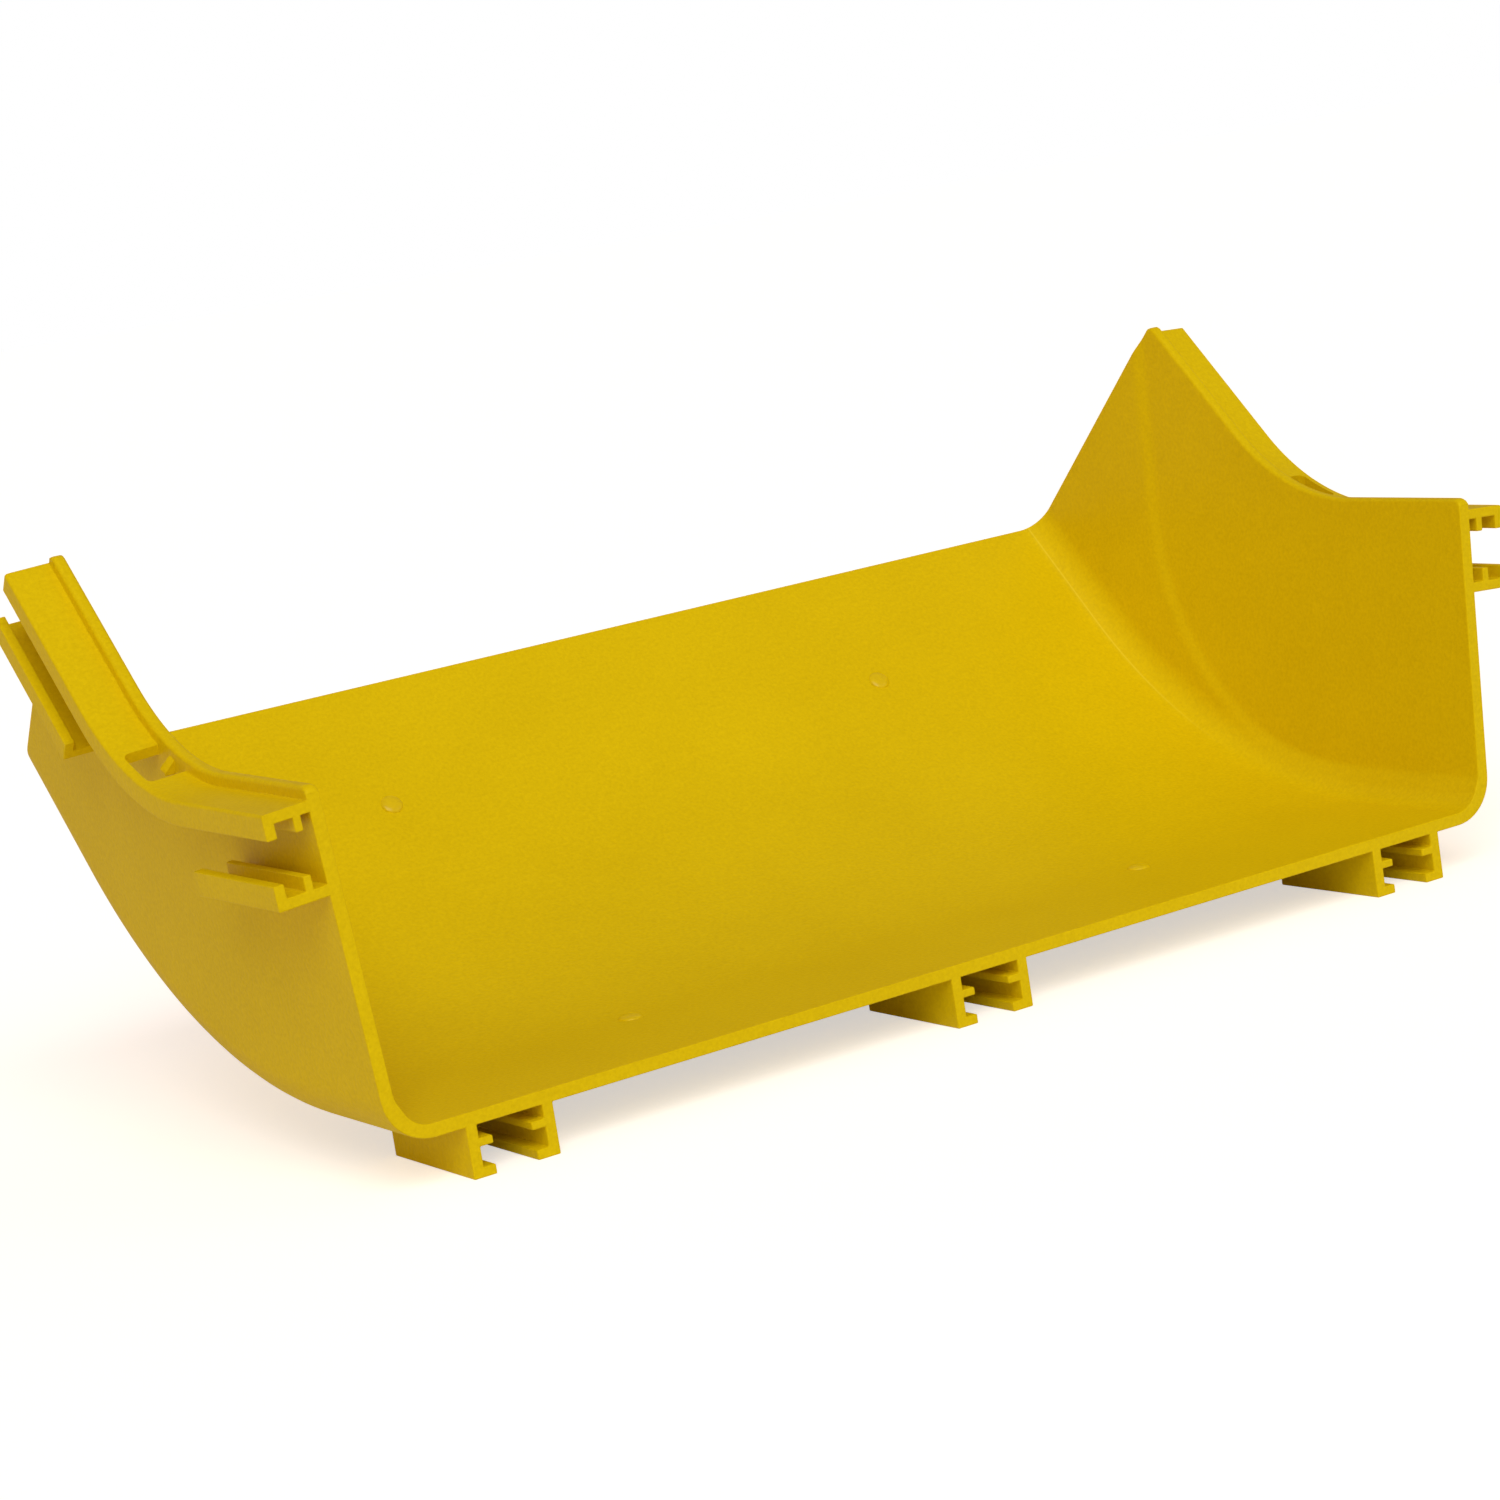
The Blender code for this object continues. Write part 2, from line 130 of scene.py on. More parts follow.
def round_corner(before: Point, corner: Point, after: Point, radius: float, steps: int) -> list[Point]:
    """Rounds a corner of an outline.

    Args:
        before: A point on the line that comes to the corner.
        corner: The corner.
        after: A point on the line that leaves it.
        radius: The arc's radius.
        steps: Into how many pieces the arc is split.

    Returns:
        The points of the arc, its two ends among them.
    """
    middle = Vector(corner)
    to_before = (Vector(before) - middle).normalized()
    to_after = (Vector(after) - middle).normalized()
    half = to_before.angle(to_after) / 2.0
    centre = middle + (to_before + to_after).normalized() * (radius / math.sin(half))
    first = middle + to_before * (radius / math.tan(half)) - centre
    last = middle + to_after * (radius / math.tan(half)) - centre
    turn = first.angle(last)
    points = []
    for step in range(steps + 1):
        share = step / steps
        spoke = (first * math.sin((1.0 - share) * turn) + last * math.sin(share * turn)) / math.sin(turn)
        points.append(tuple(centre + spoke))
    return points


def pull(bm: bmesh.types.BMesh, faces: list[bmesh.types.BMFace],
         offset: Vector) -> list[bmesh.types.BMFace]:
    """Pulls a patch of faces out of the surface.

    Args:
        bm: The mesh.
        faces: The patch.
        offset: How far it is moved.

    Returns:
        The moved patch.
    """
    edges = {edge for face in faces for edge in face.edges}
    verts = {vert for face in faces for vert in face.verts}
    drawn = bmesh.ops.extrude_face_region(bm, geom=[*verts, *edges, *faces])["geom"]
    bmesh.ops.translate(bm, verts=only(drawn, bmesh.types.BMVert), vec=offset)
    return only(drawn, bmesh.types.BMFace)


def faces_where(bm: bmesh.types.BMesh,
                test: Callable[[Vector], bool]) -> list[bmesh.types.BMFace]:
    """Finds the faces whose middles pass a test."""
    return [face for face in bm.faces if test(face.calc_center_median())]


def mirror(bm: bmesh.types.BMesh, plane: Matrix, across: Across) -> None:
    """Adds the mesh's mirror image and welds the two.

    Args:
        bm: The mesh.
        plane: Where the mirror stands.
        across: What it swaps.
    """
    bmesh.ops.mirror(bm, geom=[*bm.verts, *bm.edges, *bm.faces], matrix=plane.inverted(),
                     merge_dist=-1.0, axis=across.value)
    bmesh.ops.remove_doubles(bm, verts=bm.verts, dist=WELD)
    bmesh.ops.recalc_face_normals(bm, faces=bm.faces)


def round_edges(bm: bmesh.types.BMesh, edges: list[bmesh.types.BMEdge], radius: float,
                segments: int) -> None:
    """Rounds some edges of a mesh.

    Args:
        bm: The mesh.
        edges: Its edges to be rounded.
        radius: The rounding's radius.
        segments: Into how many strips it is split.
    """
    bmesh.ops.bevel(bm, geom=edges, offset=radius, segments=segments, profile=ROUND_PROFILE,
                    affect="EDGES", material=-1, clamp_overlap=False)


def soften(bm: bmesh.types.BMesh, radius: float, segments: int, sharper_than: float) -> None:
    """Rounds every sharp edge of a mesh.

    Args:
        bm: The mesh.
        radius: The rounding's radius.
        segments: Into how many strips it is split.
        sharper_than: The least angle between two faces that counts as an edge.
    """
    sharp = [edge for edge in bm.edges if edge.calc_face_angle(0.0) > sharper_than]
    round_edges(bm, sharp, radius, segments)


def add_piece(name: str, bm: bmesh.types.BMesh, material: bpy.types.Material) -> bpy.types.Object:
    """Makes a smooth piece of a mesh, dresses it and lets it ride on the elbow's body.

    Args:
        name: The piece's name.
        bm: Its mesh, in the row frame, which is freed.
        material: What it is made of.

    Returns:
        The piece.
    """
    mesh = bpy.data.meshes.new(name)
    bm.to_mesh(mesh)
    bm.free()
    mesh.materials.append(material)
    mesh.shade_smooth()
    piece = bpy.data.objects.new(name, mesh)
    bpy.context.scene.collection.objects.link(piece)
    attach(piece, "root")
    return piece


@dataclass(frozen=True)
class ElbowSizes:
    """Sizes that the elbow's parts share. The near end stands at y 0, its inner floor at z 0."""

    inside_width: float = 300.0 * MM
    side_height: float = 75.0 * MM
    wall: float = 3.0 * MM
    lean: float = math.radians(4.1)
    bend: float = math.radians(45.0)
    floor_bend: float = 145.0 * MM
    flange_bend: float = 61.0 * MM
    end_length: float = 36.0 * MM
    lip_height: float = 3.0 * MM
    rail_depth: float = 11.4 * MM

    @property
    def flange_top(self) -> float:
        """How far up the wall the flange's top is."""
        return self.side_height / math.cos(self.lean) - self.lip_height

    @property
    def flange_centre(self) -> Vector:
        """The centre of the flange's bend.

        Returns:
            Its place, with the near end at y 0.
        """
        height = self.on_wall(0.0, self.flange_top)[1] + self.flange_bend
        straight = self.end_length + math.tan(self.bend / 2.0) * (self.floor_bend - height)
        return Vector((0.0, straight, height))

    @property
    def floor_centre(self) -> Vector:
        """The centre of the floor's bend."""
        return Vector((0.0, self.end_length, self.floor_bend))

    @property
    def origin(self) -> Vector:
        """Where the near end's inner floor lies in the row frame.

        Returns:
            Its place, with the box's footprint centred and the rails' feet at z 0.
        """
        reach = self.floor_bend + self.wall + self.rail_depth
        depth = self.end_length + reach * math.sin(self.bend) + self.end_length * math.cos(self.bend)
        return Vector((0.0, -depth / 2.0, self.wall + self.rail_depth))

    @property
    def middle(self) -> Matrix:
        """The plane in the middle of the bend, at right angles to its own Y."""
        return Matrix.Translation(self.floor_centre) @ Matrix.Rotation(self.bend / 2.0, 4, "X")

    def on_wall(self, out: float, up: float) -> Point:
        """Gives the section point (x, z) that is out from the wall's outer face and up along it.

        Args:
            out: How far it is from the outer face, at right angles to it.
            up: How far it is up the face, from its foot at the inner floor's level.

        Returns:
            The point.
        """
        foot = self.inside_width / 2.0 + self.wall / math.cos(self.lean)
        return (foot + up * math.sin(self.lean) + out * math.cos(self.lean),
                up * math.cos(self.lean) - out * math.sin(self.lean))

    def from_wall(self, point: Vector) -> Point:
        """Gives how far (out, up) a point of the near run is from the wall's foot.

        Args:
            point: The point.

        Returns:
            The two lengths that on_wall takes.
        """
        foot = self.inside_width / 2.0 + self.wall / math.cos(self.lean)
        across = point.x - foot
        return (across * math.cos(self.lean) - point.z * math.sin(self.lean),
                across * math.sin(self.lean) + point.z * math.cos(self.lean))

    def turn_at(self, point: Vector) -> float:
        """Gives how far the bend has turned at a point, about the floor's centre."""
        arm = point - self.floor_centre
        return min(self.bend, max(0.0, math.atan2(arm.y, -arm.z)))


@dataclass(frozen=True)
class FlangeSizes:
    """The flange on top of each wall: a plate with a hook at its edge and a rib beside the wall."""

    reach: float = 10.6 * MM
    plate: float = 2.4 * MM
    hook: float = 2.4 * MM
    hook_drop: float = 3.2 * MM
    rib_gap: float = 2.2 * MM
    rib: float = 1.8 * MM
    rib_drop: float = 3.2 * MM
    edge_round: float = 0.8 * MM
    edge_steps: int = 4


@dataclass(frozen=True)
class TraySizes:
    """The tray under the flange at each end: a plate with a raised edge and a rib."""

    below_flange: float = 17.8 * MM
    length: float = 39.0 * MM
    reach: float = 11.7 * MM
    plate: float = 2.4 * MM
    edge: float = 2.4 * MM
    edge_rise: float = 3.1 * MM
    rib_gap: float = 3.1 * MM
    rib: float = 1.8 * MM
    rib_rise: float = 3.2 * MM
    rib_setback: float = 2.0 * MM


@dataclass(frozen=True)
class RailSizes:
    """The pairs of rails under each end, with feet turned in and a small rib above each foot."""

    centres: tuple[float, ...] = (0.0, 125.0 * MM)
    pair_width: float = 21.0 * MM
    leg: float = 2.6 * MM
    rib_drop: float = 3.0 * MM
    rib: float = 1.8 * MM
    rib_reach: float = 3.2 * MM
    foot: float = 2.2 * MM
    foot_reach: float = 5.5 * MM


@dataclass(frozen=True)
class WallStep:
    """The shallow step in each side wall: beyond a round line the inner face stands a little proud."""

    centre_y: float = 50.0 * MM
    centre_z: float = 72.0 * MM
    radius: float = 66.0 * MM
    rise: float = 0.75 * MM
    width: float = 4.6 * MM

    def share_at(self, point: Vector) -> float:
        """Gives the share of the step's rise at a point of the inner wall.

        Args:
            point: The point.

        Returns:
            0 inside the line, 1 beyond it.
        """
        over = point.z - self.centre_z
        along = point.y - self.centre_y
        if along < 0.0:
            past = -over - self.radius
        elif over > 0.0:
            past = along - self.radius
        else:
            past = math.hypot(along, over) - self.radius
        return smooth_step(0.5 + past / self.width)


@dataclass(frozen=True)
class MouldedPlastic:
    """Yellow ABS and polycarbonate blend, injection moulded in a finely etched tool.

    The etched tool leaves a fine even grain, so the gloss is broad and soft. The pigment is mixed a little
    unevenly. Along the fine ridge that the tool's joint leaves, a paler colour is painted as the ridge's
    highlight.
    """

    name: str = "yellow_moulded_pc_abs"
    pale_hex: str = "FDE40C"
    deep_hex: str = "D8BC00"
    # Painted highlight along the witness ridge.
    ridge_highlight_hex: str = "F6E030"
    roughness: float = 0.42
    gloss: float = 0.07
    grain_mm: float = 0.9
    grain_detail: float = 2.0
    grain_roughness: float = 0.6
    grain_depth_mm: float = 0.12
    grain_strength: float = 0.8
    cloud_mm: float = 35.0
    cloud_detail: float = 3.0
    cloud_share: float = 0.3

    def build(self) -> bpy.types.Material:
        """Builds the material.

        Returns:
            The material.
        """
        material = bpy.data.materials.new(self.name)
        material.use_nodes = True
        tree = material.node_tree
        shader = tree.nodes["Principled BSDF"]
        shader.inputs["Roughness"].default_value = self.roughness
        shader.inputs["Specular IOR Level"].default_value = self.gloss
        place = add_node(tree, "ShaderNodeTexCoord").outputs["Object"]
        # The real grain is about 0.1 mm wide; it is drawn coarser, so that it shows.
        grain = add_node(tree, "ShaderNodeTexNoise",
                         inputs={"Vector": place, "Scale": 1.0 / (self.grain_mm * MM),
                                 "Detail": self.grain_detail, "Roughness": self.grain_roughness})
        clouds = add_node(tree, "ShaderNodeTexNoise",
                          inputs={"Vector": place, "Scale": 1.0 / (self.cloud_mm * MM),
                                  "Detail": self.cloud_detail})
        uneven = add_node(tree, "ShaderNodeMix", {"data_type": "FLOAT"},
                          {MIX_FACTOR: self.cloud_share, FLOAT_A: grain.outputs["Fac"],
                           FLOAT_B: clouds.outputs["Fac"]})
        pigment = add_node(tree, "ShaderNodeMix", {"data_type": "RGBA"},
                           {MIX_FACTOR: uneven.outputs[FLOAT_OUT], COLOUR_A: linear(self.deep_hex),
                            COLOUR_B: linear(self.pale_hex)})
        # A paler colour is painted along the witness ridge, as the ridge's highlight.
        line = add_node(tree, "ShaderNodeAttribute", {"attribute_name": RIDGE_AND_HIGHLIGHT_SHARE})
        colour = add_node(tree, "ShaderNodeMix", {"data_type": "RGBA"},
                          {MIX_FACTOR: line.outputs["Fac"], COLOUR_A: pigment.outputs[COLOUR_OUT],
                           COLOUR_B: linear(self.ridge_highlight_hex)})
        bump = add_node(tree, "ShaderNodeBump",
                        inputs={"Height": grain.outputs["Fac"], "Strength": self.grain_strength,
                                "Distance": self.grain_depth_mm * MM})
        tree.links.new(colour.outputs[COLOUR_OUT], shader.inputs["Base Color"])
        tree.links.new(bump.outputs["Normal"], shader.inputs["Normal"])
        return material


@dataclass(frozen=True)
class PolishedPlastic(MouldedPlastic):
    """The same plastic where a polished pin of the tool shaped it, so it is smoother and shinier."""

    name: str = "yellow_polished_pc_abs"
    roughness: float = 0.28
    gloss: float = 0.3
    grain_strength: float = 0.1


@dataclass
class ElbowShell:
    """The trough with its flanges, trays and rails, in one mesh.

    One quarter is drawn: half the section, swept from the near end to the middle of the bend. Two mirrors
    make the rest. The witness line, a fine ridge with a paler colour painted along it as its highlight,
    runs along one point of the corner between floor and wall, and starts where the bend has turned by
    witness_delay / witness_rate of its angle.
    """

    sizes: ElbowSizes = field(default_factory=ElbowSizes)
    flange: FlangeSizes = field(default_factory=FlangeSizes)
    tray: TraySizes = field(default_factory=TraySizes)
    rails: RailSizes = field(default_factory=RailSizes)
    step: WallStep = field(default_factory=WallStep)
    corner_radius: float = 8.0 * MM
    crest_radius: float = 1.0 * MM
    crest_steps: int = 5
    floor_shares: tuple[float, ...] = (0.0, 0.2, 0.4, 0.6, 0.8, 0.95)
    outer_wall_shares: tuple[float, ...] = (0.7, 0.45)
    lip_end_radius: float = 2.0 * MM
    lip_end_start: float = 0.06
    corner_steps: int = 36
    outer_corner_steps: int = 12
    below_tray: float = 2.0 * MM
    witness_step: int = 8
    witness_height: float = 0.1 * MM
    witness_delay: float = 0.9
    witness_rate: float = 2.2
    edge_radius: float = 0.3 * MM
    edge_segments: int = 2
    edge_angle: float = math.radians(28.0)
    wall_row: float = 1.0 * MM
    half_bend_steps: int = 48
    lip_stations: tuple[float, ...] = (0.6 * MM, 1.1 * MM, 1.6 * MM, 2.3 * MM)
    station_gap: float = 1.2 * MM

    def build(self, material: bpy.types.Material) -> bpy.types.Object:
        """Builds the shell and lets it stand for the elbow's node.

        Args:
            material: What it is made of.

        Returns:
            The piece.
        """
        bm = bmesh.new()
        self.sweep(bm)
        self.pull_tray(bm)
        self.pull_rails(bm)
        self.follow_flange(bm)
        self.round_lip_end(bm)
        mirror(bm, self.sizes.middle, Across.ENDS)
        self.raise_wall_step(bm)
        self.raise_witness_ridge_and_highlight(bm)
        mirror(bm, Matrix.Identity(4), Across.SIDES)
        soften(bm, self.edge_radius, self.edge_segments, self.edge_angle)
        bmesh.ops.translate(bm, verts=bm.verts, vec=self.sizes.origin)
        bmesh.ops.recalc_face_normals(bm, faces=bm.faces)
        piece = add_piece("elbow_moulding", bm, material)
        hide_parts(NODE)
        return piece

    def inner_outline(self) -> list[tuple[Point, float, float]]:
        """Draws the inner half of the section: floor, corner, wall and lip.

        Returns:
            Its points, each with two shares: how far the wall's step lifts it, and whether it is on the
            witness ridge, where a highlight is painted.
        """
        s = self.sizes
        edge = s.inside_width / 2.0
        foot = s.on_wall(-s.wall, 0.0)
        up_inside = (s.side_height - s.wall * math.sin(s.lean)) / math.cos(s.lean)
        crest_in = s.on_wall(-s.wall, up_inside)
        crest_out = s.on_wall(0.0, s.side_height / math.cos(s.lean))
        steps = self.corner_steps
        corner = round_corner((0.0, 0.0), (edge, 0.0), crest_in, self.corner_radius, steps)
        crest = round_corner(foot, crest_in, crest_out, self.crest_radius, self.crest_steps)
        outer_crest = round_corner(crest_in, crest_out, s.on_wall(0.0, 0.0), self.crest_radius,
                                   self.crest_steps)
        points = [((corner[0][0] * share, 0.0), 0.0, 0.0) for share in self.floor_shares]
        points += [(point, smooth_step(number / steps), float(number == self.witness_step))
                   for number, point in enumerate(corner)]
        start, end = Vector(corner[-1]), Vector(crest[0])
        rows = round((end - start).length / self.wall_row)
        points += [(tuple(start.lerp(end, row / rows)), 1.0, 0.0) for row in range(1, rows)]
        points += [(point, 1.0 - smooth_step(number / self.crest_steps), 0.0)
                   for number, point in enumerate(crest)]
        return points + [(point, 0.0, 0.0) for point in outer_crest]

    def outer_outline(self) -> list[Point]:
        """Draws the outer half of the section: flange, wall, corner and underside, with the rails' rows.

        Returns:
            Its points.
        """
        s, f = self.sizes, self.flange
        top = s.flange_top
        under = top - f.plate
        hook_in = f.reach - f.hook
        rib_out = f.rib_gap + f.rib
        tray_top = top - self.tray.below_flange
        points = [s.on_wall(0.0, top)]
        points += round_corner(s.on_wall(0.0, top), s.on_wall(f.reach, top), s.on_wall(f.reach, under),
                               f.edge_round, f.edge_steps)
        points += [s.on_wall(out, up) for out, up in (
            (f.reach, under - f.hook_drop), (hook_in, under - f.hook_drop), (hook_in, under),
            (rib_out, under), (rib_out, under - f.rib_drop), (f.rib_gap, under - f.rib_drop),
            (f.rib_gap, under), (0.0, under), (0.0, tray_top), (0.0, tray_top - self.tray.plate))]
        corner = s.on_wall(0.0, -s.wall / math.cos(s.lean))
        points += [s.on_wall(0.0, tray_top * share) for share in self.outer_wall_shares]
        points += round_corner(s.on_wall(0.0, top), corner, (0.0, -s.wall), self.corner_radius + s.wall,
                               self.outer_corner_steps)
        half = self.rails.pair_width / 2.0
        edges = [centre + side * reach for centre in self.rails.centres for side in (-1.0, 1.0)
                 for reach in (half, half - self.rails.leg)]
        rows = sorted((x for x in edges if x > 0.0), reverse=True)
        points += [(x, -s.wall) for x in (*rows, 0.0)]
        return points

    def sweep(self, bm: bmesh.types.BMesh) -> None:
        """Draws the half section at the near end and sweeps it to the middle of the bend.

        Args:
            bm: The empty mesh.
        """
        s = self.sizes
        lift = bm.verts.layers.float.new(STEP_SHARE)
        line = bm.verts.layers.float.new(RIDGE_AND_HIGHLIGHT_SHARE)
        ring = []
        for (x, z), lifted, on_line in self.inner_outline():
            ring.append(bm.verts.new((x, 0.0, z)))
            ring[-1][lift], ring[-1][line] = lifted, on_line
        ring += [bm.verts.new((x, 0.0, z)) for x, z in self.outer_outline()]
        geometry = [bm.edges.new(pair) for pair in zip(ring, ring[1:])]
        bm.faces.new(ring)
        stretch = s.end_length / s.flange_centre.y
        tray_ends = [(self.tray.length - setback) * stretch for setback in (self.tray.rib_setback, 0.0)]
        first, last = self.lip_stations[-1], tray_ends[0]
        gaps = round((last - first) / self.station_gap)
        between = [first + (last - first) * number / gaps for number in range(1, gaps)]
        stations = [0.0, *self.lip_stations, *between, *tray_ends, s.end_length]
        for before, after in zip(stations, stations[1:]):
            drawn = bmesh.ops.extrude_edge_only(bm, edges=only(geometry, bmesh.types.BMEdge))["geom"]
            moved = only(drawn, bmesh.types.BMVert)
            geometry = moved + only(drawn, bmesh.types.BMEdge)
            bmesh.ops.translate(bm, verts=moved, vec=(0.0, after - before, 0.0))
        bmesh.ops.spin(bm, geom=geometry, cent=s.floor_centre, axis=(1.0, 0.0, 0.0),
                       angle=s.bend / 2.0, steps=self.half_bend_steps, use_duplicate=False)

    def pull_tray(self, bm: bmesh.types.BMesh) -> None:
        """Pulls the near tray out of the wall, then its edge and its rib up out of the tray.

        Args:
            bm: The swept mesh.
        """
        s, t = self.sizes, self.tray
        top = s.flange_top - t.below_flange
        stretch = s.end_length / s.flange_centre.y
        tray_end = t.length * stretch
        rib_end = (t.length - t.rib_setback) * stretch
        out = Vector((math.cos(s.lean), 0.0, -math.sin(s.lean)))
        up = Vector((math.sin(s.lean), 0.0, math.cos(s.lean)))

        def on_root(point: Vector) -> bool:
            """Tells whether a point lies where the tray grows out of the wall."""
            across, height = s.from_wall(point)
            return abs(across) < TINY and top - t.plate < height < top and 0.0 < point.y < tray_end

        def on_top(first: float, last: float, end: float) -> Callable[[Vector], bool]:
            """Makes a test for the tray's top between two reaches, up to an end."""

            def test(point: Vector) -> bool:
                """Tells whether a point lies there."""
                across, height = s.from_wall(point)
                return abs(height - top) < TINY and first < across < last and 0.0 < point.y < end

            return test

        patch = faces_where(bm, on_root)
        reached = 0.0
        for reach in (t.rib_gap, t.rib_gap + t.rib, t.reach - t.edge, t.reach):
            patch = pull(bm, patch, out * (reach - reached))
            reached = reach
        pull(bm, faces_where(bm, on_top(t.rib_gap, t.rib_gap + t.rib, rib_end)), up * t.rib_rise)
        pull(bm, faces_where(bm, on_top(t.reach - t.edge, t.reach, tray_end)), up * t.edge_rise)

    def pull_rails(self, bm: bmesh.types.BMesh) -> None:
        """Pulls the near rails out of the underside, those right of the middle.

        Args:
            bm: The swept mesh.
        """
        half = self.rails.pair_width / 2.0
        for centre in self.rails.centres:
            for side in (-1.0, 1.0):
                outer, inner = centre + side * half, centre + side * (half - self.rails.leg)
                if min(outer, inner) > 0.0:
                    self.pull_rail(bm, outer, inner)

    def pull_rail(self, bm: bmesh.types.BMesh, outer: float, inner: float) -> None:
        """Pulls one rail down, then its rib and its foot towards the other rail of its pair.

        Args:
            bm: The swept mesh.
            outer: Where the rail's outer side is.
            inner: Where its inner side is.
        """
        s, r = self.sizes, self.rails
        low, high = sorted((outer, inner))
        inwards = math.copysign(1.0, inner - outer)
        drops = (r.rib_drop, r.rib_drop + r.rib, s.rail_depth - r.foot, s.rail_depth)

        def on_root(point: Vector) -> bool:
            """Tells whether a point lies where the rail grows out of the underside."""
            return (abs(point.z + s.wall) < TINY and low < point.x < high
                    and 0.0 < point.y < s.end_length)

        def on_side(first: float, last: float) -> Callable[[Vector], bool]:
            """Makes a test for the rail's inner side between two drops."""
            return lambda point: (abs(point.x - inner) < TINY
                                  and -s.wall - last < point.z < -s.wall - first
                                  and 0.0 < point.y < s.end_length)

        patch = faces_where(bm, on_root)
        reached = 0.0
        for drop in drops:
            patch = pull(bm, patch, Vector((0.0, 0.0, reached - drop)))
            reached = drop
        for first, last, reach in ((drops[0], drops[1], r.rib_reach),
                                   (drops[2], drops[3], r.foot_reach - r.leg)):
            pull(bm, faces_where(bm, on_side(first, last)), Vector((inwards * reach, 0.0, 0.0)))

    def follow_flange(self, bm: bmesh.types.BMesh) -> None:
        """Moves what is high on the wall from the floor's bend line to the flange's, by degrees.

        Args:
            bm: The swept mesh.
        """
        s = self.sizes
        apart = s.flange_centre - s.floor_centre
        low = self.corner_radius
        high = s.flange_top - self.tray.below_flange - self.tray.plate - self.below_tray
        for vert in bm.verts:
            turn = s.turn_at(vert.co)
            arm = vert.co - s.floor_centre
            height = vert.co.z if turn == 0.0 else s.floor_bend - math.hypot(arm.y, arm.z)
            share = min(1.0, max(0.0, (height - low) / (high - low)))
            if turn == 0.0:
                vert.co.y *= 1.0 + share * apart.y / s.end_length
            else:
                vert.co.y += share * (apart.y + apart.z * math.sin(turn))
                vert.co.z += share * apart.z * (1.0 - math.cos(turn))

    def round_lip_end(self, bm: bmesh.types.BMesh) -> None:
        """Brings the lip down to its end in a quarter round.

        Args:
            bm: The swept mesh.
        """
        # The round starts a little way in, so the end face keeps some height.
        base = self.sizes.side_height - self.lip_end_radius
        for vert in bm.verts:
            if vert.co.y < self.lip_end_radius and vert.co.z > base:
                back = 1.0 - max(self.lip_end_start, vert.co.y / self.lip_end_radius)
                vert.co.z = base + (vert.co.z - base) * math.sqrt(1.0 - back * back)

    def raise_wall_step(self, bm: bmesh.types.BMesh) -> None:
        """Lets the inner wall stand proud beyond the step's line.

        Args:
            bm: The mesh of both ends.
        """
        lift = bm.verts.layers.float[STEP_SHARE]
        for vert in bm.verts:
            if vert[lift] > 0.0:
                vert.co.x -= self.step.rise * vert[lift] * self.step.share_at(vert.co)

    def raise_witness_ridge_and_highlight(self, bm: bmesh.types.BMesh) -> None:
        """Raises the fine line that the tool's joint left along the floor's edge, beyond the bend.

        Args:
            bm: The mesh of both ends.
        """
        line = bm.verts.layers.float[RIDGE_AND_HIGHLIGHT_SHARE]
        for vert in bm.verts:
            if vert[line] > 0.0:
                turn = self.sizes.turn_at(vert.co)
                share = turn / self.sizes.bend
                # The same share fades in the paler colour that is painted along the ridge as its highlight.
                vert[line] = smooth_step(self.witness_rate * share - self.witness_delay)
                vert.co.y -= self.witness_height * vert[line] * math.sin(turn)
                vert.co.z += self.witness_height * vert[line] * math.cos(turn)


